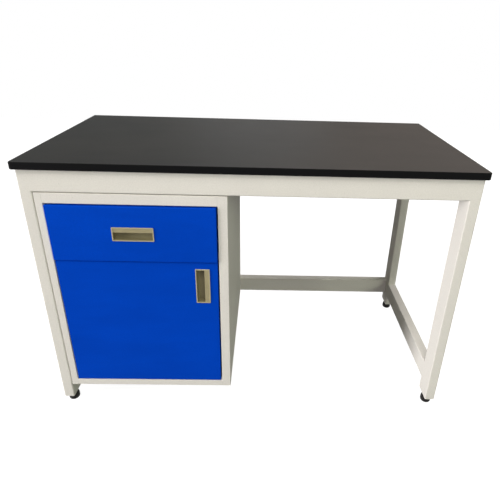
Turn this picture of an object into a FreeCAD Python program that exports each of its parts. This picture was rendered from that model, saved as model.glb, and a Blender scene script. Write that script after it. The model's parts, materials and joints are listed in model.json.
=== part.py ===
# Laboratory bench: welded tube frame, black worktop, hung cabinet with a drawer over a door.
# Millimetres. The origin is on the floor under the middle of the worktop.
# X runs to the right as seen from the front, Y to the back and Z up.
import FreeCAD
import Part
import os

# Worktop
top_width = 1200.0
top_depth = 600.0
bench_height = 800.0
top_thick = 20.0
top_corner = 9.0
top_back_corner = 3.0
top_edge = 2.5
overhang_side = 10.0
overhang_front = 10.0

# Tube frame
tube_narrow = 30.0
tube_wide = 60.0
tube_wall = 1.5
tube_corner = 3.0
tube_bore_corner = 1.5
weld_fill = 2.1
leg_clear = 32.0
lower_rail_clear = 73.0
hanger_inset = 45.0

# Levelling feet
pad_radius = 16.0
pad_height = 27.0
pad_round = 7.0
pad_shoulder = 12.0
pad_neck = 8.0
stud_radius = 5.0
stud_seat = 10.0
stud_reach = 40.0
stud_hex = 14.0
stud_gap = 0.5
thread_fit = 0.05
plug_height = 22.0
nut_radius = 8.0

# Worktop fixings
tab_width = 30.0
tab_leg = 20.0
tab_thick = 3.0
tab_from_cabinet = 120.0
tab_from_leg = 160.0
screw_radius = 2.5
screw_head = 4.5
screw_head_high = 3.0
screw_bite = 12.0

# Cabinet shell
cab_side_gap = 2.3
cab_top_gap = 2.0
cab_width = 491.2
cab_clear = 82.0
cab_back_gap = 10.0
sheet = 1.2
stile_left = 19.2
stile_right = 25.5
head_rail = 28.5
sill_rail = 20.0
return_depth = 40.0
divider_back = 28.0
divider_depth = 20.0
divider_high = 35.0
hang_radius = 4.0
hang_head = 13.0
hang_head_high = 5.3
hang_bite = 10.0
hang_inset = 60.0
spacer_radius = 9.0

# Drawer and door fronts
hinge_gap = 2.5
latch_gap = 4.0
head_gap = 3.5
sill_gap = 2.0
between_gap = 3.0
drawer_high = 160.5
front_thick = 20.0
front_edge = 2.5
front_bend = 1.3
drawer_ajar = 5.0

# Flush pulls
pull_long = 110.0
pull_short = 40.0
pull_proud = 2.0
pull_corner = 2.0
pull_rim = 4.0
pull_lip = 12.0
pull_lip_thick = 3.5
pull_deep = 15.5
pull_wall = 1.5
door_pull_in = 42.5
door_pull_down = 74.5
drawer_pull_up = 2.2

# Door pivots and catch
pivot_in = 14.0
pivot_back = 9.0
pin_radius = 2.5
pin_fit = 0.05
pin_collar = 5.0
pin_collar_high = 5.0
pin_seat = 18.0
pin_dip = 6.0
bush_radius = 4.0
bush_flange = 6.0
bush_gap = 0.5
plate_long = 30.0
plate_thick = 1.6
plate_setback = 5.0
catch_in = 60.0
catch_long = 44.0
catch_high = 14.0
catch_depth = 20.0
catch_gap = 0.4
pole_long = 30.0
pole_thick = 2.5
pole_proud = 2.0
strike_thick = 1.6

# Drawer box and its three-part slides
box_margin = 24.0
drawer_back_gap = 95.0
slide_back_gap = 68.0
slide_setback = 32.0
slide_rise = 48.0
slide_half = 22.5
slide_thick = 12.7
slide_steel = 1.2
slide_gap = 0.5

# Shelf
shelf_rise = 196.5
shelf_side_gap = 1.5
shelf_front = 50.0
shelf_back = 8.0
shelf_lip = 22.0
clip_wide = 14.0
clip_reach = 8.0
clip_thick = 3.0
clip_high = 15.0
clip_inset = 60.0

# Frame lines
frame_x = top_width / 2 - overhang_side
inner_x = frame_x - tube_narrow
front_y = -top_depth / 2 + overhang_front
back_y = top_depth / 2
apron_front_y = front_y + tube_narrow
apron_back_y = back_y - tube_narrow
leg_front_y = front_y + tube_wide
leg_back_y = back_y - tube_wide
under_top = bench_height - top_thick
apron_low = under_top - tube_wide
foot_x = frame_x - tube_narrow / 2
foot_front_y = front_y + tube_wide / 2
foot_back_y = back_y - tube_wide / 2

# Cabinet lines
cab_left = -inner_x + cab_side_gap
cab_right = cab_left + cab_width
cab_top = apron_low - cab_top_gap
cab_low = cab_clear
cab_back = apron_back_y - cab_back_gap
shell_left = cab_left + sheet
shell_right = cab_right - sheet
open_left = cab_left + stile_left
open_right = cab_right - stile_right
open_top = cab_top - head_rail
open_low = cab_low + sill_rail
return_y = front_y + return_depth
hanger_left = cab_left + hanger_inset
hanger_right = cab_right - hanger_inset
tab_places = ((hanger_left + hanger_right) / 2, cab_right + tab_from_cabinet,
              inner_x - tab_from_leg)

# Front lines
front_left = open_left + hinge_gap
front_right = open_right - latch_gap
drawer_top = open_top - head_gap
drawer_low = drawer_top - drawer_high
door_top = drawer_low - between_gap
door_low = open_low + sill_gap
gap_z = drawer_low - between_gap / 2
drawer_y = front_y - drawer_ajar
divider_y = front_y + divider_back
divider_low = gap_z - divider_high / 2
pivot_x = front_left + pivot_in
pivot_y = front_y + pivot_back
bush_top = door_low - bush_gap
drawer_pull_x = (front_left + front_right) / 2
drawer_pull_z = (drawer_low + drawer_top) / 2 + drawer_pull_up
door_pull_x = front_right - door_pull_in
door_pull_z = door_top - door_pull_down

# Drawer box lines
box_left = open_left + slide_thick
box_right = open_right - slide_thick
box_low = drawer_low + box_margin
box_top = drawer_top - box_margin
box_y = drawer_y + front_thick
box_end = cab_back - drawer_back_gap
slide_z = box_low + slide_rise
slide_y = front_y + slide_setback
slide_length = cab_back - slide_back_gap - slide_y
middle_half = slide_half - slide_steel - slide_gap
inner_half = middle_half - slide_steel - slide_gap
middle_web = slide_steel + slide_gap
inner_tip = middle_web + slide_steel + slide_gap
slide_tip = slide_thick - slide_steel - slide_gap

# Directions along the three axes
along_x = FreeCAD.Vector(1, 0, 0)
along_y = FreeCAD.Vector(0, 1, 0)
along_z = FreeCAD.Vector(0, 0, 1)


def box(x0, x1, y0, y1, z0, z1):
    return Part.makeBox(x1 - x0, y1 - y0, z1 - z0, FreeCAD.Vector(x0, y0, z0))


def rod(x, y, z0, z1, radius):
    return Part.makeCylinder(radius, z1 - z0, FreeCAD.Vector(x, y, z0))


def hexagon(x, y, z0, z1, flats):
    ring = Part.makePolygon(
        [FreeCAD.Vector(x, y, z0) + corner for corner in hexagon_corners(flats)])
    return Part.Face(Part.Wire(ring)).extrude(along_z * (z1 - z0))


def hexagon_corners(flats):
    reach = FreeCAD.Vector(flats / 3 ** 0.5, 0, 0)
    return [FreeCAD.Rotation(along_z, 60 * step).multVec(reach) for step in range(7)]


def rounded(shape, direction, radius):
    edges = [edge for edge in shape.Edges
             if abs(edge.tangentAt(edge.FirstParameter).dot(direction)) > 0.999]
    return shape.makeFillet(radius, edges)


def pair(first, second):
    return Part.makeCompound([first, second])


# Tubes of the frame

def tube_bar(limits, direction):
    return rounded(box(*limits), direction, tube_corner)


def tube_bore(limits, direction):
    x0, x1, y0, y1, z0, z1 = limits
    bore = box(x0 + tube_wall * (1 - abs(direction.x)), x1 - tube_wall * (1 - abs(direction.x)),
               y0 + tube_wall * (1 - abs(direction.y)), y1 - tube_wall * (1 - abs(direction.y)),
               z0 + tube_wall * (1 - abs(direction.z)), z1 - tube_wall * (1 - abs(direction.z)))
    return rounded(bore, direction, tube_bore_corner)


def tube(limits, direction):
    return tube_bar(limits, direction).cut(tube_bore(limits, direction))


def leg_limits(side, at_back):
    inner, outer = sorted((side * inner_x, side * frame_x))
    y0 = leg_back_y if at_back else front_y
    return (inner, outer, y0, y0 + tube_wide, leg_clear, under_top)


def leg(side, at_back):
    return tube(leg_limits(side, at_back), along_z)


def cut_by_legs(rail):
    for side in (-1, 1):
        for at_back in (False, True):
            rail = rail.cut(tube_bar(leg_limits(side, at_back), along_z))
    return rail


def cross_rail(y0, low):
    reach = inner_x + weld_fill
    return cut_by_legs(tube((-reach, reach, y0, y0 + tube_narrow, low, low + tube_wide), along_x))


def side_rail(side, low):
    inner, outer = sorted((side * inner_x, side * frame_x))
    limits = (inner, outer, leg_front_y - weld_fill, leg_back_y + weld_fill, low, low + tube_wide)
    return cut_by_legs(tube(limits, along_y))


def hang_places(x):
    return [(x, apron_front_y + hang_inset), (x, cab_back - hang_inset)]


def hanger_rail(x):
    limits = (x - tube_narrow / 2, x + tube_narrow / 2, apron_front_y, apron_back_y,
              apron_low, under_top)
    rail = tube(limits, along_y)
    for place in hang_places(x):
        rail = rail.cut(rod(*place, apron_low - 1, apron_low + tube_wall + 1, hang_radius))
    return rail


# Worktop and its fixings

def tab_anchors():
    front = [(x, apron_front_y, 1) for x in tab_places]
    back = [(x, apron_back_y, -1) for x in tab_places]
    return front + back


def screw_place(x, y, way):
    return x, y + way * (tab_thick + tab_leg / 2)


def worktop():
    slab = box(-top_width / 2, top_width / 2, -top_depth / 2, top_depth / 2,
               under_top, bench_height)
    for radius, side in ((top_corner, -1), (top_back_corner, 1)):
        corners = [edge for edge in slab.Edges if edge.BoundBox.ZLength > top_thick / 2
                   and side * edge.CenterOfMass.y > top_depth / 2 - 0.001]
        slab = slab.makeFillet(radius, corners)
    rims = [edge for edge in slab.Edges if edge.BoundBox.ZLength < 0.001]
    slab = slab.makeFillet(top_edge, rims)
    for anchor in tab_anchors():
        slab = slab.cut(rod(*screw_place(*anchor), under_top - 1, under_top + screw_bite,
                            screw_radius))
    return slab


def fixing_tab(x, y, way):
    left, right = x - tab_width / 2, x + tab_width / 2
    near, mid, far = y, y + way * tab_thick, y + way * (tab_thick + tab_leg)
    upright = box(left, right, min(near, mid), max(near, mid), under_top - tab_leg, under_top)
    flat = box(left, right, min(mid, far), max(mid, far), under_top - tab_thick, under_top)
    hole = rod(*screw_place(x, y, way), under_top - tab_leg, under_top + 1, screw_radius)
    return upright.fuse(flat).removeSplitter().cut(hole)


def worktop_screw(x, y, way):
    place = screw_place(x, y, way)
    head_top = under_top - tab_thick
    head = rod(*place, head_top - screw_head_high, head_top, screw_head)
    return head.fuse(rod(*place, head_top, under_top + screw_bite, screw_radius))


# Levelling feet

def foot_places():
    return [(-foot_x, foot_front_y), (foot_x, foot_front_y),
            (-foot_x, foot_back_y), (foot_x, foot_back_y)]


def leg_plug(x, y):
    limits = (x - tube_narrow / 2, x + tube_narrow / 2, y - tube_wide / 2, y + tube_wide / 2,
              leg_clear, leg_clear + plug_height)
    return tube_bore(limits, along_z).cut(
        rod(x, y, leg_clear - 1, leg_clear + plug_height + 1, nut_radius))


def plug_nut(x, y):
    nut = rod(x, y, leg_clear, leg_clear + plug_height, nut_radius)
    return nut.cut(rod(x, y, leg_clear - 1, leg_clear + plug_height + 1,
                       stud_radius + thread_fit))


def pad_point(radius, height):
    return FreeCAD.Vector(radius, 0, height)


def foot_pad(x, y):
    lean = 0.5 ** 0.5
    base = pad_radius - pad_round
    dome = pad_height - pad_shoulder
    low_arc = Part.Arc(pad_point(base, 0),
                       pad_point(base + pad_round * lean, pad_round * (1 - lean)),
                       pad_point(pad_radius, pad_round))
    high_arc = Part.Arc(pad_point(pad_radius, pad_shoulder),
                        pad_point(pad_neck + (pad_radius - pad_neck) * 0.8,
                                  pad_shoulder + dome * 0.62),
                        pad_point(pad_neck, pad_height))
    outline = [Part.makeLine(pad_point(0, 0), pad_point(base, 0)), low_arc.toShape(),
               Part.makeLine(pad_point(pad_radius, pad_round),
                             pad_point(pad_radius, pad_shoulder)),
               high_arc.toShape(),
               Part.makeLine(pad_point(pad_neck, pad_height), pad_point(0, pad_height)),
               Part.makeLine(pad_point(0, pad_height), pad_point(0, 0))]
    pad = Part.Face(Part.Wire(outline)).revolve(FreeCAD.Vector(0, 0, 0), along_z, 360)
    pad = pad.cut(rod(0, 0, pad_height - stud_seat, pad_height + 1, stud_radius))
    return pad.translated(FreeCAD.Vector(x, y, 0))


def foot_stud(x, y):
    hexed = hexagon(x, y, pad_height, leg_clear - stud_gap, stud_hex)
    return hexed.fuse(rod(x, y, pad_height - stud_seat, leg_clear + stud_reach, stud_radius))


# Cabinet shell

def cabinet_side(x0):
    return box(x0, x0 + sheet, front_y + sheet, cab_back - sheet, cab_low, cab_top)


def cabinet_floor(low):
    return box(shell_left, shell_right, front_y + sheet, cab_back - sheet, low, low + sheet)


def cabinet_top():
    panel = cabinet_floor(cab_top - sheet)
    for x in (hanger_left, hanger_right):
        for place in hang_places(x):
            panel = panel.cut(rod(*place, cab_top - sheet - 1, cab_top + 1, hang_radius))
    return panel


def cabinet_back():
    return box(cab_left, cab_right, cab_back - sheet, cab_back, cab_low, cab_top)


def stile(outer, opening, inward):
    inner, edge = sorted((opening, opening - inward * sheet))
    web = box(min(outer, opening), max(outer, opening), front_y, front_y + sheet,
              cab_low, cab_top)
    turned = box(inner, edge, front_y + sheet, return_y, cab_low + sheet, cab_top - sheet)
    return web.fuse(turned).removeSplitter()


def face_rail(low, top, opening, upward):
    turn_low, turn_top = sorted((opening, opening + upward * sheet))
    web = box(open_left, open_right, front_y, front_y + sheet, low, top)
    turned = box(open_left, open_right, front_y + sheet, return_y, turn_low, turn_top)
    return web.fuse(turned).removeSplitter()


def sill():
    rail = face_rail(cab_low, open_low, open_low, -1)
    return rail.cut(rod(pivot_x, pivot_y, open_low - sheet - 1, open_low + 1, bush_radius))


def divider_rail():
    top = divider_low + divider_high
    far = divider_y + divider_depth
    outer = box(open_left, open_right, divider_y, far, divider_low, top)
    hollow = box(open_left, open_right, divider_y + sheet, far + 1,
                 divider_low + sheet, top - sheet)
    return outer.cut(hollow)


def hanging_bolt(x, y):
    seat = cab_top - sheet
    head = hexagon(x, y, seat - hang_head_high, seat, hang_head)
    return head.fuse(rod(x, y, seat, apron_low + tube_wall + hang_bite, hang_radius))


def hanging_spacer(x, y):
    return rod(x, y, cab_top, apron_low, spacer_radius).cut(
        rod(x, y, cab_top - 1, apron_low + 1, hang_radius))


def all_hang_places():
    return hang_places(hanger_left) + hang_places(hanger_right)


# Shelf

def shelf_limits():
    return (shell_left + shelf_side_gap, shell_right - shelf_side_gap,
            front_y + shelf_front, cab_back - sheet - shelf_back,
            door_low + shelf_rise)


def shelf():
    x0, x1, y0, y1, top = shelf_limits()
    tray = box(x0, x1, y0, y1, top - shelf_lip, top)
    hollow = box(x0 - 1, x1 + 1, y0 + sheet, y1 - sheet, top - shelf_lip - 1, top - sheet)
    return tray.cut(hollow)


def shelf_clip(wall, inward, y):
    seat = shelf_limits()[4] - sheet
    tip = wall + inward * clip_reach
    face = wall + inward * clip_thick
    ledge = box(min(wall, tip), max(wall, tip), y - clip_wide / 2, y + clip_wide / 2,
                seat - clip_thick, seat)
    tongue = box(min(wall, face), max(wall, face), y - clip_wide / 2, y + clip_wide / 2,
                 seat - clip_high, seat - clip_thick)
    return ledge.fuse(tongue).removeSplitter()


def shelf_clips():
    x0, x1, y0, y1, top = shelf_limits()
    return [shelf_clip(wall, inward, y)
            for wall, inward in ((shell_left, 1), (shell_right, -1))
            for y in (y0 + clip_inset, y1 - clip_inset)]


# Fronts and pulls

def front_tray(low, top, y0):
    outer = box(front_left, front_right, y0, y0 + front_thick - sheet, low, top)
    face_edges = [edge for edge in outer.Edges if edge.BoundBox.YMax < y0 + 0.001]
    outer = outer.makeFillet(front_edge, face_edges)
    hollow = box(front_left + sheet, front_right - sheet, y0 + sheet, y0 + front_thick,
                 low + sheet, top - sheet)
    hollow_edges = [edge for edge in hollow.Edges if edge.BoundBox.YMax < y0 + sheet + 0.001]
    return outer.cut(hollow.makeFillet(front_bend, hollow_edges))


def front_liner(low, top, y0):
    return box(front_left, front_right, y0 + front_thick - sheet, y0 + front_thick, low, top)


def pull_body():
    long, short = pull_long / 2, pull_short / 2
    side, rise = long - pull_rim, short - pull_rim
    mouth_top = rise - pull_lip
    bezel = rounded(box(-long, long, -pull_proud, 0, -short, short), along_y, pull_corner)
    cup = box(-side - pull_wall, side + pull_wall, 0, pull_deep + pull_wall,
              -rise - pull_wall, rise + pull_wall)
    mouth = box(-side, side, -pull_proud - 1, pull_deep, -rise, mouth_top)
    behind_lip = box(-side, side, pull_lip_thick - pull_proud, pull_deep, -rise, rise)
    return bezel.fuse(cup).cut(mouth.fuse(behind_lip)).removeSplitter()


def place_pull(shape, x, y, z, upright):
    if upright:
        shape = shape.rotated(FreeCAD.Vector(0, 0, 0), along_y, 90)
    return shape.translated(FreeCAD.Vector(x, y, z))


def pull_cutout():
    side = pull_long / 2 - pull_rim + pull_wall
    rise = pull_short / 2 - pull_rim + pull_wall
    return box(-side, side, -1, sheet + 1, -rise, rise)


# Door

def pivot_rod(z0, z1, radius):
    return rod(pivot_x, pivot_y, z0, z1, radius)


def door_panel():
    panel = front_tray(door_low, door_top, front_y)
    panel = panel.cut(place_pull(pull_cutout(), door_pull_x, front_y, door_pull_z, True))
    return panel.cut(pivot_rod(door_low - 1, door_top + 1, pin_radius))


def plate_low():
    return gap_z - plate_thick / 2


def upper_pin():
    inside = door_top - sheet
    pin = pivot_rod(door_top - pin_seat, plate_low() + plate_thick, pin_radius)
    return pin.fuse(pivot_rod(inside - pin_collar_high, inside, pin_collar))


def lower_pin():
    inside = door_low + sheet
    pin = pivot_rod(open_low - pin_dip, door_low + pin_seat, pin_radius)
    return pin.fuse(pivot_rod(inside, inside + pin_collar_high, pin_collar))


def upper_hinge_plate():
    low = plate_low()
    plate = box(open_left, open_left + plate_long, front_y + plate_setback, divider_y,
                low, low + plate_thick)
    return plate.cut(pivot_rod(low - 1, low + plate_thick + 1, pin_radius + pin_fit))


def lower_hinge_bush():
    sleeve = pivot_rod(open_low - pin_dip, open_low, bush_radius)
    bush = sleeve.fuse(pivot_rod(open_low, bush_top, bush_flange))
    bore = pivot_rod(open_low - pin_dip - 1, bush_top + 1, pin_radius + pin_fit)
    return bush.cut(bore)


def catch_x():
    return open_right - catch_in


def pole_y():
    return front_y + front_thick + strike_thick + catch_gap


def catch_body():
    x, y0 = catch_x(), pole_y() + pole_proud
    return box(x - catch_long / 2, x + catch_long / 2, y0, y0 + catch_depth,
               divider_low - catch_high, divider_low)


def catch_pole(z):
    x = catch_x()
    return box(x - pole_long / 2, x + pole_long / 2, pole_y(), pole_y() + pole_proud,
               z - pole_thick / 2, z + pole_thick / 2)


def catch_poles():
    mid = divider_low - catch_high / 2
    return pair(catch_pole(mid - catch_high / 4), catch_pole(mid + catch_high / 4))


def door_strike():
    x, y0 = catch_x(), front_y + front_thick
    return box(x - catch_long / 2, x + catch_long / 2, y0, y0 + strike_thick,
               divider_low - catch_high, divider_low)


# Drawer

def drawer_front():
    panel = front_tray(drawer_low, drawer_top, drawer_y)
    return panel.cut(place_pull(pull_cutout(), drawer_pull_x, drawer_y, drawer_pull_z, False))


def drawer_side(x0):
    return box(x0, x0 + sheet, box_y, box_end, box_low, box_top)


def drawer_bottom():
    return box(box_left + sheet, box_right - sheet, box_y, box_end - sheet,
               box_low, box_low + sheet)


def drawer_back():
    return box(box_left + sheet, box_right - sheet, box_end - sheet, box_end, box_low, box_top)


def channel(base, way, web, tip, half, y0, y1):
    turn = 1 if tip > web else -1
    near, far = sorted((base + way * web, base + way * tip))
    bed_near, bed_far = sorted((base + way * (web + turn * slide_steel),
                                base + way * (tip + turn)))
    bar = box(near, far, y0, y1, slide_z - half, slide_z + half)
    bed = box(bed_near, bed_far, y0, y1,
              slide_z - half + slide_steel, slide_z + half - slide_steel)
    return bar.cut(bed)


def both_slides(web, tip, half, drawn):
    y0 = slide_y - drawn
    return pair(channel(open_left, 1, web, tip, half, y0, y0 + slide_length),
                channel(open_right, -1, web, tip, half, y0, y0 + slide_length))


def slide_brackets():
    y1 = slide_y + slide_length
    return pair(channel(open_left, -1, 0, open_left - shell_left, slide_half, return_y, y1),
                channel(open_right, 1, 0, shell_right - open_right, slide_half, return_y, y1))


pull = pull_body()
feet = foot_places()
nodes = {
    "worktop": worktop(),
    "front_left_leg": leg(-1, False),
    "front_right_leg": leg(1, False),
    "back_left_leg": leg(-1, True),
    "back_right_leg": leg(1, True),
    "front_apron": cross_rail(front_y, apron_low),
    "back_apron": cross_rail(apron_back_y, apron_low),
    "left_top_rail": side_rail(-1, apron_low),
    "right_top_rail": side_rail(1, apron_low),
    "left_lower_rail": side_rail(-1, lower_rail_clear),
    "right_lower_rail": side_rail(1, lower_rail_clear),
    "back_lower_rail": cross_rail(apron_back_y, lower_rail_clear),
    "left_hanger_rail": hanger_rail(hanger_left),
    "right_hanger_rail": hanger_rail(hanger_right),
    "leg_end_plugs": Part.makeCompound([leg_plug(*place) for place in feet]),
    "plug_nuts": Part.makeCompound([plug_nut(*place) for place in feet]),
    "worktop_tabs": Part.makeCompound([fixing_tab(*anchor) for anchor in tab_anchors()]),
    "worktop_screws": Part.makeCompound([worktop_screw(*anchor) for anchor in tab_anchors()]),
    "cabinet_left_side": cabinet_side(cab_left),
    "cabinet_right_side": cabinet_side(shell_right),
    "cabinet_top": cabinet_top(),
    "cabinet_bottom": cabinet_floor(cab_low),
    "cabinet_back": cabinet_back(),
    "left_stile": stile(cab_left, open_left, 1),
    "right_stile": stile(cab_right, open_right, -1),
    "face_top_rail": face_rail(open_top, cab_top, open_top, 1),
    "face_bottom_rail": sill(),
    "divider_rail": divider_rail(),
    "upper_hinge_plate": upper_hinge_plate(),
    "lower_hinge_bush": lower_hinge_bush(),
    "slide_brackets": slide_brackets(),
    "slide_outer_members": both_slides(0, slide_tip, slide_half, 0),
    "hanging_bolts": Part.makeCompound([hanging_bolt(*place) for place in all_hang_places()]),
    "hanging_spacers": Part.makeCompound([hanging_spacer(*place) for place in all_hang_places()]),
    "shelf": shelf(),
    "shelf_clips": Part.makeCompound(shelf_clips()),
    "catch_body": catch_body(),
    "catch_poles": catch_poles(),
    "door_panel": door_panel(),
    "door_liner": front_liner(door_low, door_top, front_y),
    "door_pull": place_pull(pull, door_pull_x, front_y, door_pull_z, True),
    "door_pivot_pins": pair(upper_pin(), lower_pin()),
    "door_strike": door_strike(),
    "drawer_front": drawer_front(),
    "drawer_liner": front_liner(drawer_low, drawer_top, drawer_y),
    "drawer_pull": place_pull(pull, drawer_pull_x, drawer_y, drawer_pull_z, False),
    "drawer_left_side": drawer_side(box_left),
    "drawer_right_side": drawer_side(box_right - sheet),
    "drawer_bottom": drawer_bottom(),
    "drawer_back": drawer_back(),
    "slide_inner_members": both_slides(slide_thick, inner_tip, inner_half, drawer_ajar),
    "slide_middle_members": both_slides(middle_web, slide_tip, middle_half, drawer_ajar / 2),
    "front_left_foot": foot_pad(*feet[0]),
    "front_right_foot": foot_pad(*feet[1]),
    "back_left_foot": foot_pad(*feet[2]),
    "back_right_foot": foot_pad(*feet[3]),
    "front_left_stud": foot_stud(*feet[0]),
    "front_right_stud": foot_stud(*feet[1]),
    "back_left_stud": foot_stud(*feet[2]),
    "back_right_stud": foot_stud(*feet[3]),
}

os.makedirs("parts", exist_ok=True)
for name, shape in nodes.items():
    shape.exportStep("parts/" + name + ".step")
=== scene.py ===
import json
import math

import bmesh
import bpy
from mathutils import Matrix, Vector


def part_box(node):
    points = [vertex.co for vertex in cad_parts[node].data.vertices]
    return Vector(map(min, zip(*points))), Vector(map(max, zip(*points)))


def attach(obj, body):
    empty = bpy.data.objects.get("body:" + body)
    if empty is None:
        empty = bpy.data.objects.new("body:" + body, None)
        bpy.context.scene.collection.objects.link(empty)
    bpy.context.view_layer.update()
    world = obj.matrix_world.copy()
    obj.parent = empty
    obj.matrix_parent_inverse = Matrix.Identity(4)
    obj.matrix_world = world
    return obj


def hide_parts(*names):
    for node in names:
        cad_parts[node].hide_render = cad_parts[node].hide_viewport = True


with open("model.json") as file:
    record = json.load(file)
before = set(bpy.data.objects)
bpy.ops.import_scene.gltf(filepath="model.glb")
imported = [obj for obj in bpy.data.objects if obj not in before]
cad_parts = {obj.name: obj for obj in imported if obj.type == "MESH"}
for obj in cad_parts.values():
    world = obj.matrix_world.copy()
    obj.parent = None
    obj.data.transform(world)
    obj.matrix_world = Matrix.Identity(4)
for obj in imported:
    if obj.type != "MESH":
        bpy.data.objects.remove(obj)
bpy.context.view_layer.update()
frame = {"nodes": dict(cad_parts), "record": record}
mm = 0.001
nearly = 0.02 * mm    # how close a place has to be to count as on a plane
parallel, square = 0.99, 0.01    # an edge runs along an axis above the first, across it below the second
facing = 0.9    # a face looks along an axis above this
smoothAngle = math.radians(40)    # sharper edges than this stay crisp
slotOf = {row["node"]: row["material_slot"] for row in frame["record"]["subparts"]}
bodyOf = {node: body for body, nodes in frame["record"]["behaviour"]["bodies"].items() for node in nodes}
print("frame loaded:", len(frame["nodes"]), "nodes")


# Hand tools used on every piece

def clearSelection():
    if bpy.context.object and bpy.context.object.mode != "OBJECT":
        bpy.ops.object.mode_set(mode="OBJECT")
    bpy.ops.object.select_all(action="DESELECT")


def openPiece(piece):
    clearSelection()
    piece.select_set(True)
    bpy.context.view_layer.objects.active = piece
    bpy.ops.object.mode_set(mode="EDIT")
    bpy.ops.mesh.select_all(action="DESELECT")


def closePiece():
    bpy.ops.object.mode_set(mode="OBJECT")


def addBlock(name, low, high):
    clearSelection()
    low, high = Vector(low), Vector(high)
    bpy.ops.mesh.primitive_cube_add(size=1, location=(low + high) / 2, scale=high - low)
    block = bpy.context.object
    block.name = name
    bpy.ops.object.transform_apply(location=True, rotation=True, scale=True)
    return block


def pickEdges(test):    # test gets an edge's middle and its direction
    bpy.ops.mesh.select_mode(type="EDGE")
    bpy.ops.mesh.select_all(action="DESELECT")
    mesh = bmesh.from_edit_mesh(bpy.context.object.data)
    for edge in mesh.edges:
        start, end = edge.verts[0].co, edge.verts[1].co
        edge.select_set(test((start + end) / 2, (end - start).normalized()))
    bmesh.update_edit_mesh(bpy.context.object.data)


def pickFaces(test):    # test gets a face's middle and its normal
    bpy.ops.mesh.select_mode(type="FACE")
    bpy.ops.mesh.select_all(action="DESELECT")
    mesh = bmesh.from_edit_mesh(bpy.context.object.data)
    mesh.normal_update()
    for face in mesh.faces:
        face.select_set(test(face.calc_center_bounds(), face.normal))
    bmesh.update_edit_mesh(bpy.context.object.data)


def bevelPicked(width, steps):
    bpy.ops.mesh.bevel(offset=width, offset_type="OFFSET", segments=steps, affect="EDGES",
                       clamp_overlap=False)


def extrudePicked(shift):
    bpy.ops.mesh.extrude_region_move(TRANSFORM_OT_translate={"value": tuple(shift)})


def cutPicked(test, point, normal):    # draws a cut line over the faces that pass the test
    pickFaces(test)
    bpy.ops.mesh.bisect(plane_co=point, plane_no=normal)


def smoothPiece(piece):    # round bends shade smoothly, and the large faces stay flat
    clearSelection()
    piece.select_set(True)
    bpy.context.view_layer.objects.active = piece
    bpy.ops.object.shade_smooth_by_angle(angle=smoothAngle, keep_sharp_edges=False)
    flat = piece.modifiers.new("flatFaces", "WEIGHTED_NORMAL")
    flat.keep_sharp = True
    bpy.ops.object.modifier_apply(modifier=flat.name)


def cutWith(piece, cutter):    # takes the cutter's shape out of the piece
    clearSelection()
    piece.select_set(True)
    bpy.context.view_layer.objects.active = piece
    cut = piece.modifiers.new("cut", "BOOLEAN")
    cut.object = cutter
    cut.solver = "EXACT"
    bpy.ops.object.modifier_apply(modifier=cut.name)
    bpy.data.objects.remove(cutter)


def copyPiece(piece, name, change):
    copy = piece.copy()
    copy.data = piece.data.copy()
    copy.name = name
    copy.data.transform(change)
    bpy.context.scene.collection.objects.link(copy)
    return copy


def seat(piece, *nodes):    # the piece stands for the nodes and moves with them
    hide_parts(*nodes)
    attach(piece, bodyOf[nodes[0]])


# Finishes

def startFinish(name, roughness, specular, metallic=0.0):
    finish = bpy.data.materials.new(name)
    finish.use_nodes = True
    tree = finish.node_tree
    shader = tree.nodes["Principled BSDF"]
    shader.inputs["Roughness"].default_value = roughness
    shader.inputs["Specular IOR Level"].default_value = specular
    shader.inputs["Metallic"].default_value = metallic
    place = tree.nodes.new("ShaderNodeTexCoord").outputs["Object"]
    return finish, tree, shader, place


def addNoise(tree, place, size, detail=2.0, stretch=(1, 1, 1)):
    mapping = tree.nodes.new("ShaderNodeMapping")
    mapping.inputs["Scale"].default_value = stretch
    noise = tree.nodes.new("ShaderNodeTexNoise")
    noise.inputs["Scale"].default_value = 1 / size
    noise.inputs["Detail"].default_value = detail
    tree.links.new(place, mapping.inputs["Vector"])
    tree.links.new(mapping.outputs["Vector"], noise.inputs["Vector"])
    return noise.outputs["Fac"]


def addRange(tree, value, fromLow, fromHigh, toLow, toHigh):
    spread = tree.nodes.new("ShaderNodeMapRange")
    for socket, number in zip(("From Min", "From Max", "To Min", "To Max"),
                              (fromLow, fromHigh, toLow, toHigh)):
        spread.inputs[socket].default_value = number
    tree.links.new(value, spread.inputs["Value"])
    return spread.outputs["Result"]


def blendColours(tree, share, first, second):
    blend = tree.nodes.new("ShaderNodeMix")
    blend.data_type = "RGBA"
    tree.links.new(share, blend.inputs[0])
    for socket, colour in ((blend.inputs[6], first), (blend.inputs[7], second)):
        if isinstance(colour, bpy.types.NodeSocket):
            tree.links.new(colour, socket)
        else:
            socket.default_value = (*colour, 1)
    return blend.outputs[2]


def addBump(tree, shader, height, strength, distance, under=None):
    bump = tree.nodes.new("ShaderNodeBump")
    bump.inputs["Strength"].default_value = strength
    bump.inputs["Distance"].default_value = distance
    tree.links.new(height, bump.inputs["Height"])
    if under:
        tree.links.new(under, bump.inputs["Normal"])
    tree.links.new(bump.outputs["Normal"], shader.inputs["Normal"])
    return bump.outputs["Normal"]


noiseSpread = (0.3, 0.7)    # most of a noise lies in this band


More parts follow.
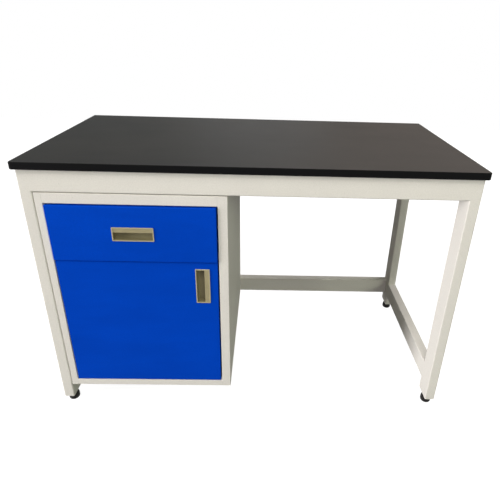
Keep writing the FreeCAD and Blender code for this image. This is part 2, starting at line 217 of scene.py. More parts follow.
def powderCoat(name, look):    # sprayed and baked paint: soft clouds, orange peel, a few specks
    finish, tree, shader, place = startFinish(name, look["gloss"][0], look["specular"])
    cloud = addNoise(tree, place, look["cloud"], detail=3, stretch=look["cloudStretch"])
    cloud = addRange(tree, cloud, *noiseSpread, 0, 1)
    paint = blendColours(tree, cloud, look["colour"], look["shade"])
    mottle = addNoise(tree, place, look["mottleSize"])
    mottle = addRange(tree, mottle, *look["mottleCut"], 0, look["mottleDepth"])
    paint = blendColours(tree, mottle, paint, look["mottle"])
    speck = addNoise(tree, place, look["speckSize"], detail=1)
    speck = addRange(tree, speck, *look["speckCut"], 0, look["speckDepth"])
    paint = blendColours(tree, speck, paint, look["speck"])
    tree.links.new(paint, shader.inputs["Base Color"])
    sheen = addNoise(tree, place, look["sheenSize"], detail=4)
    tree.links.new(addRange(tree, sheen, *noiseSpread, *look["gloss"]), shader.inputs["Roughness"])
    peel = addNoise(tree, place, look["peel"], detail=1)
    peel = addBump(tree, shader, peel, look["peelDepth"], look["peelHeight"])
    grain = addNoise(tree, place, look["grain"])
    addBump(tree, shader, grain, look["grainDepth"], look["grainHeight"], under=peel)
    return finish


frameLook = {"colour": (0.81, 0.785, 0.732), "shade": (0.775, 0.75, 0.702), "cloud": 0.16,
             "cloudStretch": (1, 1, 1), "mottle": (0.69, 0.67, 0.62), "mottleSize": 3.5 * mm,
             "mottleCut": (0.35, 0.65), "mottleDepth": 0.35, "speck": (0.35, 0.33, 0.3),
             "speckSize": 3.2 * mm, "speckCut": (0.74, 0.8), "speckDepth": 0.3, "gloss": (0.5, 0.6),
             "sheenSize": 0.04, "specular": 0.02, "peel": 1.7 * mm, "peelDepth": 0.22,
             "peelHeight": 0.2 * mm, "grain": 0.5 * mm, "grainDepth": 0.1, "grainHeight": 0.05 * mm}
cabinetLook = {**frameLook, "colour": (0.815, 0.787, 0.742), "shade": (0.78, 0.752, 0.714),
               "cloud": 0.21, "peel": 1.3 * mm, "peelDepth": 0.16, "specular": 0.004}
# on the fronts the cloud is stretched into soft horizontal bands of painted shade for the sheet's waviness
frontLook = {**frameLook, "colour": (0.0003, 0.062, 0.575), "shade": (0.0003, 0.054, 0.505),
             "cloud": 0.19, "cloudStretch": (1, 1, 3.2), "mottle": (0.0003, 0.048, 0.46),
             "speck": (0.02, 0.1, 0.6), "speckDepth": 0.2, "gloss": (0.38, 0.48), "specular": 0.025,
             "peel": 1.5 * mm, "peelDepth": 0.2}
topLook = {"colour": (0.0196, 0.0201, 0.0196), "shade": (0.0256, 0.0251, 0.0237), "cloud": 0.24,
           "fleck": (0.06, 0.06, 0.058), "fleckSize": 0.9 * mm, "fleckCut": (0.64, 0.74),
           "fleckDepth": 0.5, "gloss": (0.54, 0.56), "specular": 0.15, "wipe": 0.09,
           "wipeStretch": (0.7, 1, 1), "crystal": 0.7 * mm, "crystalDepth": 0.25,
           "crystalHeight": 0.06 * mm}
# the edge's colour is darker than the top's as painted shade
edgeShadeLook = {"colour": (0.0003, 0.0004, 0.0005), "shade": (0.0016, 0.0017, 0.002), "layer": 3 * mm,
            "layerStretch": (0.02, 0.02, 1), "gloss": (0.5, 0.58), "specular": 0.065, "wipe": 0.03,
            "mill": 1.1 * mm, "millStretch": (1, 1, 0.08), "millDepth": 0.12, "millHeight": 0.05 * mm}


def resinTop(name, look):    # pressed resin sheet: fine crystal texture, faint wiping marks
    finish, tree, shader, place = startFinish(name, look["gloss"][0], look["specular"])
    cloud = addRange(tree, addNoise(tree, place, look["cloud"], detail=4), *noiseSpread, 0, 1)
    colour = blendColours(tree, cloud, look["colour"], look["shade"])
    fleck = addNoise(tree, place, look["fleckSize"], detail=1)
    fleck = addRange(tree, fleck, *look["fleckCut"], 0, look["fleckDepth"])
    tree.links.new(blendColours(tree, fleck, colour, look["fleck"]), shader.inputs["Base Color"])
    wipe = addNoise(tree, place, look["wipe"], detail=5, stretch=look["wipeStretch"])
    tree.links.new(addRange(tree, wipe, *noiseSpread, *look["gloss"]), shader.inputs["Roughness"])
    crystal = addNoise(tree, place, look["crystal"], detail=3)
    addBump(tree, shader, crystal, look["crystalDepth"], look["crystalHeight"])
    return finish


def resinEdge(name, look):    # the machined edge of the same sheet, with its press layers; near black like the top and darker than it as painted shade
    finish, tree, shader, place = startFinish(name, look["gloss"][0], look["specular"])
    layer = addNoise(tree, place, look["layer"], stretch=look["layerStretch"])
    tree.links.new(blendColours(tree, layer, look["colour"], look["shade"]), shader.inputs["Base Color"])
    wipe = addNoise(tree, place, look["wipe"], detail=4)
    tree.links.new(addRange(tree, wipe, *noiseSpread, *look["gloss"]), shader.inputs["Roughness"])
    mill = addNoise(tree, place, look["mill"], detail=1, stretch=look["millStretch"])
    addBump(tree, shader, mill, look["millDepth"], look["millHeight"])
    return finish


def moulded(name, look):    # injection moulded piece: spark-eroded grain, slow tone changes
    finish, tree, shader, place = startFinish(name, look["gloss"][0], look["specular"])
    cloud = addRange(tree, addNoise(tree, place, look["cloud"], detail=3), *noiseSpread, 0, 1)
    tree.links.new(blendColours(tree, cloud, look["colour"], look["shade"]), shader.inputs["Base Color"])
    sheen = addNoise(tree, place, look["sheenSize"], detail=3)
    tree.links.new(addRange(tree, sheen, *noiseSpread, *look["gloss"]), shader.inputs["Roughness"])
    grain = addNoise(tree, place, look["grain"])
    addBump(tree, shader, grain, look["grainDepth"], look["grainHeight"])
    return finish


pullLook = {"colour": (0.35, 0.3, 0.172), "shade": (0.31, 0.268, 0.155), "cloud": 20 * mm,
            "sheenSize": 20 * mm / 3, "gloss": (0.36, 0.5), "specular": 0.4, "grain": 0.35 * mm,
            "grainDepth": 0.2, "grainHeight": 0.1 * mm}
# the rim's colour is lighter than the lip's as a painted highlight
rimHighlightLook = {**pullLook, "colour": (0.46, 0.405, 0.25), "shade": (0.42, 0.37, 0.225),
           "gloss": (0.3, 0.4), "grainDepth": 0.08}
# the cup's colour is darker than the lip's as painted shade in the recess
cupShadeLook = {**pullLook, "colour": (0.208, 0.182, 0.1), "shade": (0.18, 0.158, 0.088),
           "gloss": (0.45, 0.6), "specular": 0.25}
footLook = {"colour": (0.007, 0.006, 0.006), "shade": (0.012, 0.011, 0.01), "cloud": 12 * mm,
            "sheenSize": 4 * mm, "gloss": (0.4, 0.6), "specular": 0.12, "grain": 0.6 * mm,
            "grainDepth": 0.3, "grainHeight": 0.1 * mm}
plasticLook = {**footLook, "colour": (0.016, 0.016, 0.017), "shade": (0.024, 0.024, 0.025),
               "gloss": (0.35, 0.5)}
zincLook = {"colour": (0.56, 0.58, 0.6), "shade": (0.42, 0.44, 0.46), "spangle": 7 * mm,
            "spangleCut": (0.1, 0.8), "gloss": (0.24, 0.42), "specular": 0.5, "brush": 0.6 * mm,
            "brushStretch": (1, 0.03, 1), "brushDepth": 0.12, "brushHeight": 0.04 * mm}


def zincPlate(name, look):    # bright zinc: spangle patches and drawing lines
    finish, tree, shader, place = startFinish(name, look["gloss"][0], look["specular"], metallic=1)
    patch = tree.nodes.new("ShaderNodeTexVoronoi")
    patch.inputs["Scale"].default_value = 1 / look["spangle"]
    tree.links.new(place, patch.inputs["Vector"])
    spangle = addRange(tree, patch.outputs["Distance"], *look["spangleCut"], 0, 1)
    tree.links.new(blendColours(tree, spangle, look["colour"], look["shade"]), shader.inputs["Base Color"])
    tree.links.new(addRange(tree, spangle, 0, 1, *look["gloss"]), shader.inputs["Roughness"])
    lines = addNoise(tree, place, look["brush"], stretch=look["brushStretch"])
    addBump(tree, shader, lines, look["brushDepth"], look["brushHeight"])
    return finish


finishes = {"worktop_black": resinTop("resinTop", topLook),
            "frame_white": powderCoat("framePowder", frameLook),
            "cabinet_white": powderCoat("cabinetPowder", cabinetLook),
            "front_blue": powderCoat("frontPowder", frontLook),
            "pull_beige": moulded("pullMoulding", pullLook),
            "foot_black": moulded("footRubber", footLook),
            "plastic_black": moulded("fittingPlastic", plasticLook),
            "zinc_steel": zincPlate("zincPlate", zincLook)}
faceFinishes = {"topEdge": resinEdge("resinEdge", edgeShadeLook), "pullRim": moulded("pullRim", rimHighlightLook),
                "pullCup": moulded("pullCup", cupShadeLook)}    # for some faces of a piece only
print("finishes made:", len(finishes) + len(faceFinishes))


def dress(piece, node):
    piece.data.materials.clear()
    piece.data.materials.append(finishes[slotOf[node]])


def finishPiece(piece, *nodes):
    smoothPiece(piece)
    dress(piece, nodes[0])
    seat(piece, *nodes)


# Worktop
worktopShape = {"frontCorner": 8.5 * mm, "backCorner": 3.4 * mm, "cornerSteps": 12, "rim": 2.6 * mm,
                "rimSteps": 6}


def modelWorktop(shape):
    low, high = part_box("worktop")
    top = addBlock("benchTop", low, high)
    openPiece(top)
    for side, corner in ((low.y, "frontCorner"), (high.y, "backCorner")):
        pickEdges(lambda middle, along: abs(along.z) > parallel and abs(middle.y - side) < nearly)
        bevelPicked(shape[corner], shape["cornerSteps"])
    pickEdges(lambda middle, along: abs(along.z) < square and
              min(abs(middle.z - low.z), abs(middle.z - high.z)) < nearly)
    bevelPicked(shape["rim"], shape["rimSteps"])
    closePiece()
    finishPiece(top, "worktop")
    top.data.materials.append(faceFinishes["topEdge"])
    for face in top.data.polygons:    # all but the pressed faces show the machined edge
        face.material_index = 0 if abs(face.normal.z) > facing else 1


modelWorktop(worktopShape)
print("worktop done")


# Tube frame
tubeShape = {"corner": 3 * mm, "steps": 5, "wall": 1.5 * mm, "weldRun": 0.9 * mm, "openEnd": 23 * mm}
legNodes = ("front_left_leg", "front_right_leg", "back_left_leg", "back_right_leg")
crossNodes = ("front_apron", "back_apron", "back_lower_rail")
sideNodes = ("left_top_rail", "right_top_rail", "left_lower_rail", "right_lower_rail")
hangerNodes = ("left_hanger_rail", "right_hanger_rail")


def pieceName(node):    # front_left_leg becomes frontLeftLeg
    first, *rest = node.split("_")
    return first + "".join(word.capitalize() for word in rest)


def modelTube(node, axis, weldRun, shape):
    low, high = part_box(node)
    low[axis] -= weldRun    # a ground weld carries the skin on to the flat of the leg
    high[axis] += weldRun
    tube = addBlock(pieceName(node), low, high)
    openPiece(tube)
    pickEdges(lambda middle, along: abs(along[axis]) > parallel)
    bevelPicked(shape["corner"], shape["steps"])
    return tube


def modelFrame(shape):
    for node in legNodes:
        leg = modelTube(node, 2, 0, shape)
        pickFaces(lambda middle, normal: normal.z < -facing)
        bpy.ops.mesh.inset(thickness=shape["wall"])
        extrudePicked((0, 0, shape["openEnd"]))
        closePiece()
        finishPiece(leg, node)
    for nodes, axis, run in ((crossNodes, 0, shape["weldRun"]), (sideNodes, 1, shape["weldRun"]),
                             (hangerNodes, 1, 0)):
        for node in nodes:
            rail = modelTube(node, axis, run, shape)
            closePiece()
            finishPiece(rail, node)


modelFrame(tubeShape)
print("tube frame done")


# Levelling feet
padShape = {"round": 7 * mm, "shoulder": 12 * mm, "neck": 8 * mm, "sides": 48, "steps": 7,
            "ridge": 0.5 * mm, "ridgeHigh": 1.2 * mm}
studShape = {"hex": 14 * mm, "hexSides": 6, "hexTurn": 30, "hexHigh": 4.5 * mm, "chamfer": 0.7 * mm,
             "radius": 5 * mm, "core": 4.3 * mm, "pitch": 1.5 * mm, "crest": (0.4, 0.6), "sides": 32}
cornerNames = ("front_left", "front_right", "back_left", "back_right")


def turnRings(name, centre, rings, sides):    # a disc drawn up ring by ring, as on a lathe
    clearSelection()
    radius, height = rings[0]
    bpy.ops.mesh.primitive_circle_add(vertices=sides, radius=radius, fill_type="NGON",
                                      location=(centre.x, centre.y, height))
    turned = bpy.context.object
    turned.name = name
    bpy.ops.object.transform_apply(location=True, rotation=True, scale=True)
    bpy.ops.object.mode_set(mode="EDIT")
    bpy.ops.mesh.select_all(action="SELECT")
    for nextRadius, nextHeight in rings[1:]:
        extrudePicked((0, 0, nextHeight - height))
        grow = nextRadius / radius
        bpy.ops.transform.resize(value=(grow, grow, 1), center_override=(centre.x, centre.y, nextHeight))
        radius, height = nextRadius, nextHeight
    bpy.ops.mesh.select_all(action="SELECT")
    bpy.ops.mesh.normals_make_consistent(inside=False)
    closePiece()
    return turned


def padRings(low, high, shape):
    outer = (high.x - low.x) / 2
    heel, neck, shoulder = shape["round"], shape["neck"], shape["shoulder"]
    turns = [math.pi / 2 * step / shape["steps"] for step in range(shape["steps"] + 1)]
    rings = [(outer - heel * (1 - math.sin(turn)), low.z + heel * (1 - math.cos(turn)))
             for turn in turns]    # rounded heel
    middle = (heel + shoulder) / 2
    rings += [(outer, middle - shape["ridgeHigh"]), (outer - shape["ridge"], middle - shape["ridgeHigh"] / 2),
              (outer, middle)]    # moulding groove
    rings += [(neck + (outer - neck) * math.cos(turn), shoulder + (high.z - shoulder) * math.sin(turn))
              for turn in turns]    # domed shoulder
    return rings


def modelFeet(pad, stud):
    firstFoot = firstStud = firstMiddle = None
    for corner in cornerNames:
        footNode, studNode = corner + "_foot", corner + "_stud"
        low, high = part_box(footNode)
        middle = (low + high) / 2
        if firstFoot is None:
            firstMiddle = middle
            firstFoot = turnRings(pieceName(footNode), middle, padRings(low, high, pad), pad["sides"])
            firstStud = modelStud(pieceName(studNode), middle, high.z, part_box(studNode)[1].z, stud)
            foot, screw = firstFoot, firstStud
        else:
            shift = Matrix.Translation(middle - firstMiddle)
            foot = copyPiece(firstFoot, pieceName(footNode), shift)
            screw = copyPiece(firstStud, pieceName(studNode), shift)
        finishPiece(foot, footNode)
        finishPiece(screw, studNode)


def modelStud(name, middle, base, top, shape):
    reach = shape["hex"] / math.sqrt(3)
    hexTop = base + shape["hexHigh"]
    rings = [(reach - shape["chamfer"], base), (reach, base + shape["chamfer"]),
             (reach, hexTop - shape["chamfer"]), (reach - shape["chamfer"], hexTop)]
    nut = turnRings(name, middle, rings, shape["hexSides"])
    openPiece(nut)
    bpy.ops.mesh.select_all(action="SELECT")
    bpy.ops.transform.rotate(value=math.radians(shape["hexTurn"]), orient_axis="Z",
                             center_override=middle)
    closePiece()
    pitch = shape["pitch"]
    threadRings = [(shape["core"], hexTop)]
    for turn in range(int((top - hexTop) / pitch)):
        start = hexTop + turn * pitch
        threadRings += [(shape["radius"], start + pitch * share) for share in shape["crest"]]
        threadRings.append((shape["core"], start + pitch))
    thread = turnRings(name + "Thread", middle, threadRings, shape["sides"])
    clearSelection()
    thread.select_set(True)
    nut.select_set(True)
    bpy.context.view_layer.objects.active = nut
    bpy.ops.object.join()
    return nut


modelFeet(padShape, studShape)
print("feet and studs done")


# Cabinet face frame and folded sheets
sheetShape = {"sheet": 1.2 * mm, "bend": 1.1 * mm, "fold": 1.9 * mm, "bendSteps": 5}


def foldStrip(piece, ground, cuts, strip, shift):    # cuts a strip off a face and folds it out
    openPiece(piece)
    for point, normal in cuts:
        cutPicked(ground, point, normal)
    pickFaces(strip)
    extrudePicked(shift)
    closePiece()


def bendEdges(piece, test, radius, steps):
    openPiece(piece)
    pickEdges(test)
    bevelPicked(radius, steps)
    closePiece()


def modelStile(node, openingRight, shape):
    low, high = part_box(node)
    gauge = shape["sheet"]
    web = addBlock(pieceName(node), low, (high.x, low.y + gauge, high.z))
    opening = high.x if openingRight else low.x
    seamX = opening - gauge if openingRight else opening + gauge
    backOf = low.y + gauge
    isBack = lambda middle, normal: normal.y > facing and abs(middle.y - backOf) < nearly
    foldStrip(web, isBack, [((seamX, backOf, 0), (1, 0, 0)), ((0, backOf, low.z + gauge), (0, 0, 1)),
                            ((0, backOf, high.z - gauge), (0, 0, 1))],
              lambda middle, normal: isBack(middle, normal)
              and abs(middle.x - (seamX + opening) / 2) < nearly
              and abs(middle.z - (low.z + high.z) / 2) < gauge,
              (0, high.y - backOf, 0))
    bendEdges(web, lambda middle, along: abs(along.z) > parallel and abs(middle.y - low.y) < nearly,
              shape["bend"], shape["bendSteps"])
    finishPiece(web, node)


def modelFaceRail(node, openingUp, shape):
    low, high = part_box(node)
    gauge = shape["sheet"]
    web = addBlock(pieceName(node), low, (high.x, low.y + gauge, high.z))
    opening = high.z if openingUp else low.z
    seamZ = opening - gauge if openingUp else opening + gauge
    backOf = low.y + gauge
    isBack = lambda middle, normal: normal.y > facing and abs(middle.y - backOf) < nearly
    foldStrip(web, isBack, [((0, backOf, seamZ), (0, 0, 1))],
              lambda middle, normal: isBack(middle, normal)
              and abs(middle.z - (seamZ + opening) / 2) < nearly,
              (0, high.y - backOf, 0))
    for z, radius in ((opening, "fold"), (low.z + high.z - opening, "bend")):
        bendEdges(web, lambda middle, along: abs(along.x) > parallel and abs(middle.y - low.y) < nearly
                  and abs(middle.z - z) < nearly, shape[radius], shape["bendSteps"])
    finishPiece(web, node)


def modelShelf(node, shape):
    low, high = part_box(node)
    gauge = shape["sheet"]
    under = high.z - gauge
    tray = addBlock("cupboardShelf", (low.x, low.y, under), high)
    isUnder = lambda middle, normal: normal.z < -facing and abs(middle.z - under) < nearly
    foldStrip(tray, isUnder,
              [((0, low.y + gauge, under), (0, 1, 0)), ((0, high.y - gauge, under), (0, 1, 0))],
              lambda middle, normal: isUnder(middle, normal)
              and abs(middle.y - (low.y + high.y) / 2) > gauge,
              (0, 0, low.z - under))
    bendEdges(tray, lambda middle, along: abs(along.x) > parallel and abs(middle.z - high.z) < nearly,
              shape["bend"], shape["bendSteps"])
    finishPiece(tray, node)


modelStile("left_stile", True, sheetShape)
modelStile("right_stile", False, sheetShape)
modelFaceRail("face_top_rail", False, sheetShape)
modelFaceRail("face_bottom_rail", True, sheetShape)
modelShelf("shelf", sheetShape)
print("face frame and shelf done")


# Drawer and door fronts
frontShape = {"edge": 2.3 * mm, "edgeSteps": 6, "corner": 2.8 * mm, "cornerSteps": 6, "sheet": 1.2 * mm}
pullShape = {"rim": 3 * mm, "lip": 12 * mm, "lipThick": 3.5 * mm, "proud": 2 * mm, "wall": 0.5 * mm,
             "deep": 17.5 * mm, "scoop": 9 * mm, "scoopSteps": 8, "corner": 2 * mm, "cornerSteps": 5,
             "edge": 0.9 * mm, "edgeSteps": 4, "step": 1 * mm, "soft": 0.5 * mm, "softSteps": 3,
             "rimSoft": 0.25 * mm, "rimSoftSteps": 2, "mark": 3.5 * mm, "markDeep": 0.6 * mm,
             "markSides": 32}


def modelFront(node, pullNode, shape, pull):
    low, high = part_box(node)
    skin = addBlock(pieceName(node), low, high)
    openPiece(skin)
    pickEdges(lambda middle, along: abs(along.y) > parallel)
    bevelPicked(shape["corner"], shape["cornerSteps"])
    pickEdges(lambda middle, along: abs(along.y) < square and abs(middle.y - low.y) < nearly)
    bevelPicked(shape["edge"], shape["edgeSteps"])
    pickFaces(lambda middle, normal: normal.y > facing)    # folded tray, open behind
    bpy.ops.mesh.inset(thickness=shape["sheet"])
    extrudePicked((0, low.y + shape["sheet"] - high.y, 0))
    closePiece()
    pullLow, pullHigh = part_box(pullNode)
    margin = Vector((1, 0, 1)) * (pull["rim"] - pull["wall"])
    cutWith(skin, addBlock("pullHole", pullLow + margin, pullHigh - margin))
    finishPiece(skin, node)


def modelPull(node, shape):
    low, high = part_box(node)    # lies along X, with the lip above the mouth
    faceY = low.y
    bezelBack = low.y + shape["proud"]
    pull = addBlock(pieceName(node), low, (high.x, bezelBack, high.z))
    openPiece(pull)
    pickEdges(lambda middle, along: abs(along.y) > parallel)
    bevelPicked(shape["corner"], shape["cornerSteps"])
    isBack = lambda middle, normal: normal.y > facing
    cupRim = shape["rim"] - shape["wall"]
    for point, normal in frameCuts(low, high, cupRim, bezelBack):    # cup behind the bezel
        cutPicked(isBack, point, normal)
    pickFaces(lambda middle, normal: isBack(middle, normal) and isWithin(middle, low, high, cupRim))
    extrudePicked((0, high.y - bezelBack, 0))
    pickEdges(lambda middle, along: abs(along.y) < square and abs(middle.y - faceY) < nearly)
    bevelPicked(shape["edge"], shape["edgeSteps"])
    isFace = lambda middle, normal: normal.y < -facing and abs(middle.y - faceY) < nearly
    for point, normal in frameCuts(low, high, shape["rim"], faceY):
        cutPicked(isFace, point, normal)
    pickFaces(lambda middle, normal: isFace(middle, normal) and isWithin(middle, low, high, shape["rim"]))
    extrudePicked((0, shape["step"], 0))
    plateY = faceY + shape["step"]
    mouthTop = high.z - shape["rim"] - shape["lip"]
    isPlate = lambda middle, normal: normal.y < -facing and abs(middle.y - plateY) < nearly
    cutPicked(isPlate, (0, plateY, mouthTop), (0, 0, 1))
    pickFaces(lambda middle, normal: isPlate(middle, normal) and middle.z < mouthTop)
    extrudePicked((0, shape["lipThick"] - shape["step"], 0))
    extrudePicked((0, shape["deep"] - shape["lipThick"], 0))
    underLip = faceY + shape["lipThick"]
    pickFaces(lambda middle, normal: normal.z < -facing and abs(middle.z - mouthTop) < nearly
              and middle.y > underLip)
    extrudePicked((0, 0, shape["lip"]))    # finger room behind the lip
    pickEdges(lambda middle, along: abs(along.x) > parallel and abs(middle.z - low.z - shape["rim"]) < nearly
              and abs(middle.y - faceY - shape["deep"]) < nearly)
    bevelPicked(shape["scoop"], shape["scoopSteps"])    # the floor of the cup sweeps up to the mouth
    pickEdges(lambda middle, along: abs(along.x) > parallel and abs(middle.z - mouthTop) < nearly
              and middle.y < underLip + nearly)
    bevelPicked(shape["soft"], shape["softSteps"])
    pickEdges(lambda middle, along: abs(along.y) < square and abs(middle.y - faceY) < nearly
              and isWithin(middle, low, high, shape["rim"] - nearly))
    bevelPicked(shape["rimSoft"], shape["rimSoftSteps"])
    closePiece()
    lipMiddle = ((low.x + high.x) / 2, plateY, mouthTop + shape["lip"] / 2)
    clearSelection()
    bpy.ops.mesh.primitive_cylinder_add(vertices=shape["markSides"], radius=shape["mark"],
                                        depth=2 * shape["markDeep"], location=lipMiddle,
                                        rotation=(math.radians(90), 0, 0))
    cutWith(pull, bpy.context.object)    # ejector mark of the mould
    return pull


def finishPull(piece, node, shape):    # polished rim lighter as a painted highlight, satin lip, coarse cup darker as painted shade in the recess
    for part in ("pullRim", "pullCup"):
        piece.data.materials.append(faceFinishes[part])
    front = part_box(node)[0].y
    for face in piece.data.polygons:
        if face.center.y < front + shape["step"] / 2:
            face.material_index = 1
        elif face.center.y > front + shape["lipThick"] - nearly:
            face.material_index = 2


def frameCuts(low, high, inset, y):
    return [((low.x + inset, y, 0), (1, 0, 0)), ((high.x - inset, y, 0), (1, 0, 0)),
            ((0, y, low.z + inset), (0, 0, 1)), ((0, y, high.z - inset), (0, 0, 1))]


def isWithin(middle, low, high, inset):
    return (low.x + inset - nearly < middle.x < high.x - inset + nearly
            and low.z + inset - nearly < middle.z < high.z - inset + nearly)


def modelFronts(front, pull):
    modelFront("drawer_front", "drawer_pull", front, pull)
    modelFront("door_panel", "door_pull", front, pull)
    drawerPull = modelPull("drawer_pull", pull)
    drawerLow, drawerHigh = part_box("drawer_pull")
    doorLow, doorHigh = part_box("door_pull")
    turn = (Matrix.Translation((doorLow + doorHigh) / 2) @ Matrix.Rotation(math.radians(90), 4, "Y")
            @ Matrix.Translation(-(drawerLow + drawerHigh) / 2))    # the lip turns to the right
    doorPull = copyPiece(drawerPull, "doorPull", turn)
    finishPiece(drawerPull, "drawer_pull")
    finishPiece(doorPull, "door_pull")
    finishPull(drawerPull, "drawer_pull", pull)
    finishPull(doorPull, "door_pull", pull)


modelFronts(frontShape, pullShape)
print("fronts and pulls done")


# Drawer box with folded top hems
hemShape = {"high": 9 * mm, "thick": 1.4 * mm, "bend": 0.5 * mm, "bendSteps": 3}


def modelDrawerWall(node, axis, inward, shape):
    low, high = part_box(node)
    wall = addBlock(pieceName(node), low, high)
    inner = high[axis] if inward > 0 else low[axis]
    way = Vector((0, 0, 0))
    way[axis] = inward
    isInner = lambda middle, normal: normal.dot(way) > facing and abs(middle[axis] - inner) < nearly
    hemLow = high.z - shape["high"]
    foldStrip(wall, isInner, [((0, 0, hemLow), (0, 0, 1))],
              lambda middle, normal: isInner(middle, normal) and middle.z > hemLow, way * shape["thick"])
    openPiece(wall)
    pickEdges(lambda middle, along: abs(along.z) < square and abs(along[axis]) < square
              and abs(middle.z - high.z) < nearly)
    bevelPicked(shape["bend"], shape["bendSteps"])
    closePiece()
    finishPiece(wall, node)


modelDrawerWall("drawer_left_side", 0, 1, hemShape)
modelDrawerWall("drawer_right_side", 0, -1, hemShape)
modelDrawerWall("drawer_back", 1, -1, hemShape)
print("drawer box done")


# Sheets, fittings and slides: each keeps its outline and gets worked edges
softWidths = {"cabinet_left_side": 0.4 * mm, "cabinet_right_side": 0.4 * mm, "cabinet_top": 0.4 * mm,
              "cabinet_bottom": 0.4 * mm, "cabinet_back": 0.4 * mm, "divider_rail": 0.5 * mm,
              "door_liner": 0.3 * mm, "drawer_liner": 0.3 * mm, "drawer_bottom": 0.3 * mm,
              "upper_hinge_plate": 0.4 * mm, "lower_hinge_bush": 0.4 * mm, "door_pivot_pins": 0.4 * mm,
              "shelf_clips": 0.5 * mm, "catch_body": 0.8 * mm, "catch_poles": 0.3 * mm,
              "door_strike": 0.4 * mm, "leg_end_plugs": 0.5 * mm, "plug_nuts": 0.4 * mm,
              "worktop_tabs": 0.5 * mm, "worktop_screws": 0.5 * mm, "hanging_bolts": 0.7 * mm,
              "hanging_spacers": 0.5 * mm}
# From the outer faces in to the left and right webs
slideWebs = {"slide_brackets": (18 * mm, 24.3 * mm), "slide_outer_members": (0, 0),
             "slide_middle_members": (0, 0), "slide_inner_members": (9.3 * mm, 9.3 * mm)}
slideShape = {"bend": 1 * mm, "bendSteps": 4, "edge": 0.25 * mm}
softShape = {"steps": 2, "join": nearly / 10, "flat": math.radians(0.5)}


def copyNode(node, shape):    # the node's own triangles, joined up into whole faces
    source = frame["nodes"][node]
    piece = bpy.data.objects.new(pieceName(node) + "Piece", source.data.copy())
    bpy.context.scene.collection.objects.link(piece)
    openPiece(piece)
    bpy.ops.mesh.select_all(action="SELECT")
    bpy.ops.mesh.remove_doubles(threshold=shape["join"])
    bpy.ops.mesh.dissolve_limited(angle_limit=shape["flat"])
    return piece


def softenPiece(piece, node, width, shape):
    closePiece()
    soft = piece.modifiers.new("softEdges", "BEVEL")
    soft.width = width
    soft.segments = shape["steps"]
    soft.limit_method = "ANGLE"
    soft.angle_limit = smoothAngle
    bpy.ops.object.modifier_apply(modifier=soft.name)
    finishPiece(piece, node)


def modelSlides(webs, shape, soft):
    for node, (left, right) in webs.items():
        low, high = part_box(node)
        channel = copyNode(node, soft)
        pickEdges(lambda middle, along: abs(along.y) > parallel
                  and min(abs(middle.z - low.z), abs(middle.z - high.z)) < nearly
                  and min(abs(middle.x - low.x - left), abs(high.x - right - middle.x)) < nearly)
        bevelPicked(shape["bend"], shape["bendSteps"])
        softenPiece(channel, node, shape["edge"], soft)


for node, width in softWidths.items():
    softenPiece(copyNode(node, softShape), node, width, softShape)
modelSlides(slideWebs, slideShape, softShape)
print("sheets, fittings and slides done")


# Pan-head screws that hold the inner slide members to the drawer
screwShape = {"rings": ((3.6, 0), (3.6, 0.665), (3.312, 1.235), (2.2, 1.805), (1.1, 1.9)),    # mm
              "high": 1.9 * mm, "sides": 28, "slot": 0.9 * mm, "slotLong": 5.04 * mm, "slotDeep": 0.7 * mm,
              "along": (40 * mm, 210 * mm, 400 * mm), "steel": 1.2 * mm}


def modelSlideScrews(shape):
    low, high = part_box("slide_inner_members")
    web = slideWebs["slide_inner_members"][0] - shape["steel"]
    height = (low.z + high.z) / 2
    rings = [(radius * mm, up * mm) for radius, up in shape["rings"]]
    pattern = turnRings("slideScrew", Vector((0, 0, 0)), rings, shape["sides"])
    long, narrow = shape["slotLong"] / 2, shape["slot"] / 2
    for wide, deep in ((long, narrow), (narrow, long)):    # cross recess
        cutWith(pattern, addBlock("slot", (-wide, -deep, shape["high"] - shape["slotDeep"]),
                                  (wide, deep, shape["high"] * 2)))
    for side, wall, turn in (("Left", low.x + web, -90), ("Right", high.x - web, 90)):
        for count, along in enumerate(shape["along"], 1):
            place = Matrix.Translation((wall, low.y + along, height))
            lay = Matrix.Rotation(math.radians(turn), 4, "Y")
            screw = copyPiece(pattern, "slideScrew" + side + str(count), place @ lay)
            smoothPiece(screw)
            screw.data.materials.clear()
            screw.data.materials.append(finishes["zinc_steel"])
            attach(screw, "drawer")
    bpy.data.objects.remove(pattern)


modelSlideScrews(screwShape)
print("slide screws done")


# Studio
studio = {"ambient": (0.045, 0.045, 0.03), "floorSize": 8, "floorDrop": 0.2 * mm, "floorTone": 0.15,
          "floorGlow": 0.93, "floorCatch": 0.3}
lamps = {"keyLamp": {"place": (-12, -4, 1.9), "size": 3.6, "power": 1555, "tint": (1, 0.98, 0.985)},
         "sideLamp": {"place": (4.2, -4.6, 2.8), "size": 2.2, "power": 103, "tint": (0.92, 1, 0.78)},
         "highLamp": {"place": (-0.4, -3.4, 6), "size": 3, "power": 222, "tint": (1, 0.965, 0.925)},
         "frontLamp": {"place": (0.2, -5.5, 0.5), "size": 2.5, "power": 41, "tint": (1, 0.92, 1)},
         "backLamp": {"place": (0.1, 6, 1.2), "size": 2, "power": 150, "tint": (1, 0.985, 0.95)},
         "rightLamp": {"place": (3.3, 0.9, 5.6), "size": 1.5, "power": 100, "tint": (1, 0.94, 1)}}
dullLamps = ("backLamp", "rightLamp")    # leave no glare
lampAim = Vector((0, 0, 0.5))
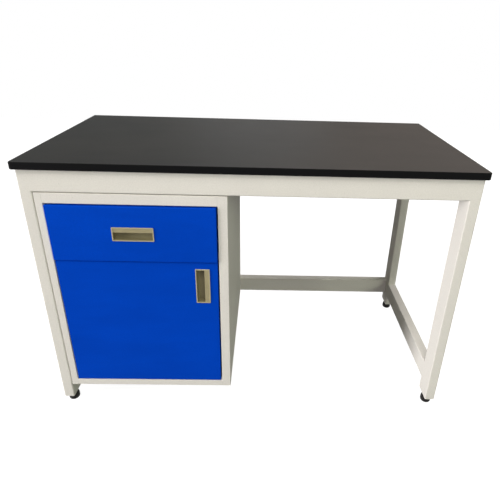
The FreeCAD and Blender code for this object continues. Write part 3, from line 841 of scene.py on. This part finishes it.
cards = {"leftCard": {"left": -6, "right": -0.6, "low": 1.55, "high": 3.2, "tone": (0.01, 0.02, 0.02)},
         "leftLowCard": {"left": -6, "right": -0.6, "low": 0.5, "high": 1.54, "tone": (0.8, 0.82, 0.8)},
         "rightCard": {"left": 0.5, "right": 6, "low": 1.62, "high": 3.2, "tone": (2.05, 1.68, 1.46)},
         "rightLowCard": {"left": 0.5, "right": 6, "low": 0.5, "high": 1.61, "tone": (0.1, 0.085, 0.075)}}
cardsBehind = 2.6
photoView = {"place": (0.02834, -1.34662, 1.1259), "turn": (65.54, -1.684, -0.949), "focal": 31.776,
             "sensor": 36, "shift": (-0.0519, -0.0527)}


def seenShare(tree):    # 1 for rays that show the background, 0 for rays that carry light
    path = tree.nodes.new("ShaderNodeLightPath")
    total = path.outputs["Is Camera Ray"]
    for ray in ("Is Glossy Ray", "Is Transmission Ray"):
        larger = tree.nodes.new("ShaderNodeMath")
        larger.operation = "MAXIMUM"
        tree.links.new(total, larger.inputs[0])
        tree.links.new(path.outputs[ray], larger.inputs[1])
        total = larger.outputs[0]
    return total


def makeWorld(look):
    world = bpy.data.worlds.new("whiteStudio")
    bpy.context.scene.world = world
    world.use_nodes = True
    tree = world.node_tree
    soft = tree.nodes["Background"]
    soft.inputs["Color"].default_value = (*look["ambient"], 1)
    white = tree.nodes.new("ShaderNodeBackground")
    white.inputs["Color"].default_value = (1, 1, 1, 1)
    mix = tree.nodes.new("ShaderNodeMixShader")
    tree.links.new(seenShare(tree), mix.inputs[0])
    tree.links.new(soft.outputs[0], mix.inputs[1])
    tree.links.new(white.outputs[0], mix.inputs[2])
    tree.links.new(mix.outputs[0], tree.nodes["World Output"].inputs["Surface"])


def makeFloor(look):
    clearSelection()
    bpy.ops.mesh.primitive_plane_add(size=look["floorSize"], location=(0, 0, -look["floorDrop"]))
    floor = bpy.context.object
    floor.name = "studioFloor"
    paper = bpy.data.materials.new("floorPaper")
    paper.use_nodes = True
    tree = paper.node_tree
    tree.nodes.remove(tree.nodes["Principled BSDF"])
    dull = tree.nodes.new("ShaderNodeBsdfDiffuse")
    dull.inputs["Color"].default_value = (look["floorTone"],) * 3 + (1,)
    catch = tree.nodes.new("ShaderNodeBsdfDiffuse")
    catch.inputs["Color"].default_value = (look["floorCatch"],) * 3 + (1,)
    glow = tree.nodes.new("ShaderNodeEmission")
    glow.inputs["Strength"].default_value = look["floorGlow"]
    both = tree.nodes.new("ShaderNodeAddShader")
    mix = tree.nodes.new("ShaderNodeMixShader")
    tree.links.new(catch.outputs[0], both.inputs[0])
    tree.links.new(glow.outputs[0], both.inputs[1])
    tree.links.new(seenShare(tree), mix.inputs[0])
    tree.links.new(dull.outputs[0], mix.inputs[1])
    tree.links.new(both.outputs[0], mix.inputs[2])
    tree.links.new(mix.outputs[0], tree.nodes["Material Output"].inputs["Surface"])
    floor.data.materials.append(paper)


def makeCards(settings):    # tone what the black top mirrors, and do nothing else
    for name, card in settings.items():
        clearSelection()
        middle = ((card["left"] + card["right"]) / 2, cardsBehind, (card["low"] + card["high"]) / 2)
        bpy.ops.mesh.primitive_plane_add(size=1, location=middle, rotation=(math.radians(90), 0, 0))
        sheet = bpy.context.object
        sheet.name = name
        sheet.scale = (card["right"] - card["left"], card["high"] - card["low"], 1)
        paint = bpy.data.materials.new(name + "Paint")
        paint.use_nodes = True
        tree = paint.node_tree
        tree.nodes.remove(tree.nodes["Principled BSDF"])
        glow = tree.nodes.new("ShaderNodeEmission")
        glow.inputs["Color"].default_value = (*card["tone"], 1)
        tree.links.new(glow.outputs[0], tree.nodes["Material Output"].inputs["Surface"])
        sheet.data.materials.append(paint)
        sheet.visible_camera = False
        sheet.visible_diffuse = False
        sheet.visible_shadow = False
        sheet.visible_transmission = False


def makeLamps(settings):
    for name, lamp in settings.items():
        aim = lampAim - Vector(lamp["place"])
        clearSelection()
        bpy.ops.object.light_add(type="AREA", location=lamp["place"],
                                 rotation=aim.to_track_quat("-Z", "Y").to_euler())
        light = bpy.context.object
        light.name = name
        light.data.size = lamp["size"]
        light.data.energy = lamp["power"]
        light.data.color = lamp["tint"]
        light.visible_glossy = name not in dullLamps


def makeCamera(view):
    clearSelection()
    turn = [math.radians(angle) for angle in view["turn"]]
    bpy.ops.object.camera_add(location=view["place"], rotation=turn)
    camera = bpy.context.object
    camera.name = "photoCamera"
    camera.data.lens = view["focal"]
    camera.data.sensor_width = view["sensor"]
    camera.data.shift_x, camera.data.shift_y = view["shift"]
    bpy.context.scene.camera = camera


makeWorld(studio)
makeFloor(studio)
makeLamps(lamps)
makeCards(cards)
makeCamera(photoView)
bpy.context.scene.view_settings.view_transform = "Standard"
print("studio ready")
